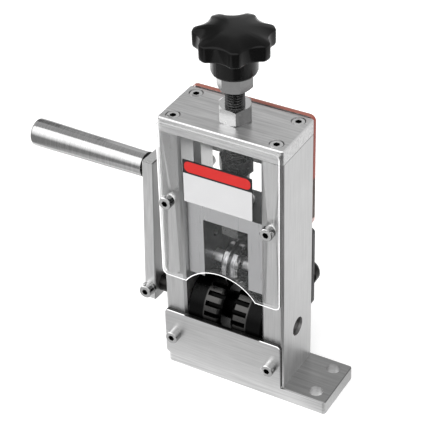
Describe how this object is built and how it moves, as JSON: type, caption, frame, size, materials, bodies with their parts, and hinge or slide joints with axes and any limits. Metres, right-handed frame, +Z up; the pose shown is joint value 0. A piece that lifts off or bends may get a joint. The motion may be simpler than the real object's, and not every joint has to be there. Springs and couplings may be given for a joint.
{
  "type": "hand crank wire stripper",
  "caption": "Bench wire stripper: a crank turns a toothed roller under a disc blade in a yoke that a star knob screw raises and lowers, with clear covers and a wire guide.",
  "frame": {"origin": "on the underside of the base plate, midway between the two posts", "axes": "+X from the crank side towards the bench holes, +Y to the back where the cable enters, +Z up along the feed screw"},
  "size_m": [0.2213, 0.0631, 0.249],
  "materials": {
    "machined_aluminium": "fine brushed",
    "polished_aluminium": "polished",
    "ground_steel": "ground and polished",
    "plated_steel": "bright plated",
    "black_steel": "black oxide, oiled",
    "bronze": "sintered bronze",
    "black_plastic": "glossy moulded",
    "black_plate": "black anodised",
    "clear_acrylic": "clear, polished edges",
    "front_print": "printed film",
    "rear_print": "printed film"
  },
  "bodies": {
    "frame": {"base_plate": "machined_aluminium", "base_screws": "black_steel", "left_post": "machined_aluminium", "right_post": "machined_aluminium", "top_plate": "machined_aluminium", "top_screws": "plated_steel", "top_nut": "plated_steel", "left_bush": "bronze", "right_bush": "bronze", "front_cover": "clear_acrylic", "cover_screws": "plated_steel", "cover_label": "front_print", "front_guard": "machined_aluminium", "guard_screws": "plated_steel", "rear_cover": "clear_acrylic", "rear_cover_screws": "plated_steel", "rear_label": "rear_print"},
    "crank": {"drive_shaft": "black_steel", "drive_roller": "black_steel", "roller_key": "plated_steel", "thrust_washers": "bronze", "crank_arm": "machined_aluminium", "clamp_screw": "plated_steel", "clamp_washer": "plated_steel", "handle_bolt": "black_steel", "handle_washer": "black_plastic"},
    "handle": {"handle_grip": "polished_aluminium"},
    "yoke": {"slider_yoke": "machined_aluminium", "blade_axle": "ground_steel", "blade_spacers": "ground_steel"},
    "blade": {"cutting_blade": "ground_steel", "blade_flanges": "plated_steel", "blade_bush": "bronze", "flange_screws": "black_steel"},
    "screw": {"feed_screw": "black_steel", "yoke_washers": "plated_steel", "yoke_sleeve": "black_steel", "yoke_nut": "black_steel", "end_nut": "black_steel", "jam_nut": "plated_steel", "star_knob": "black_plastic"},
    "guide": {"wire_guide": "black_plate"},
    "left_knob": {"guide_knob_left": "black_plastic"},
    "right_knob": {"guide_knob_right": "black_plastic"}
  },
  "joints": [
    {"name": "crank_turn", "type": "hinge", "parent": "frame", "child": "crank", "pos_m": [0, 0, 0.0465], "axis": [1, 0, 0], "continuous": true},
    {"name": "handle_spin", "type": "hinge", "parent": "crank", "child": "handle", "pos_m": [-0.1, 0.00434, 0.13219], "axis": [1, 0, 0], "continuous": true},
    {"name": "blade_height", "type": "slide", "parent": "frame", "child": "yoke", "axis": [0, 0, 1], "range_m": [-0.0032, 0.013]},
    {"name": "blade_spin", "type": "hinge", "parent": "yoke", "child": "blade", "pos_m": [0, 0, 0.083], "axis": [1, 0, 0], "continuous": true},
    {"name": "screw_turn", "type": "hinge", "parent": "yoke", "child": "screw", "pos_m": [0, 0, 0.2], "axis": [0, 0, 1], "range_deg": [-658.4, 2674.4]},
    {"name": "guide_slide", "type": "slide", "parent": "frame", "child": "guide", "axis": [0, 0, 1], "range_m": [-0.013, 0.003]},
    {"name": "left_knob_turn", "type": "hinge", "parent": "frame", "child": "left_knob", "pos_m": [-0.0345, 0.024, 0.068], "axis": [0, 1, 0], "range_deg": [0, 360]},
    {"name": "right_knob_turn", "type": "hinge", "parent": "frame", "child": "right_knob", "pos_m": [0.0345, 0.024, 0.068], "axis": [0, 1, 0], "range_deg": [0, 360]}
  ],
  "couplings": [
    {"joint": "screw_turn", "follows": "blade_height", "rad_per_m": 3590.4}
  ]
}
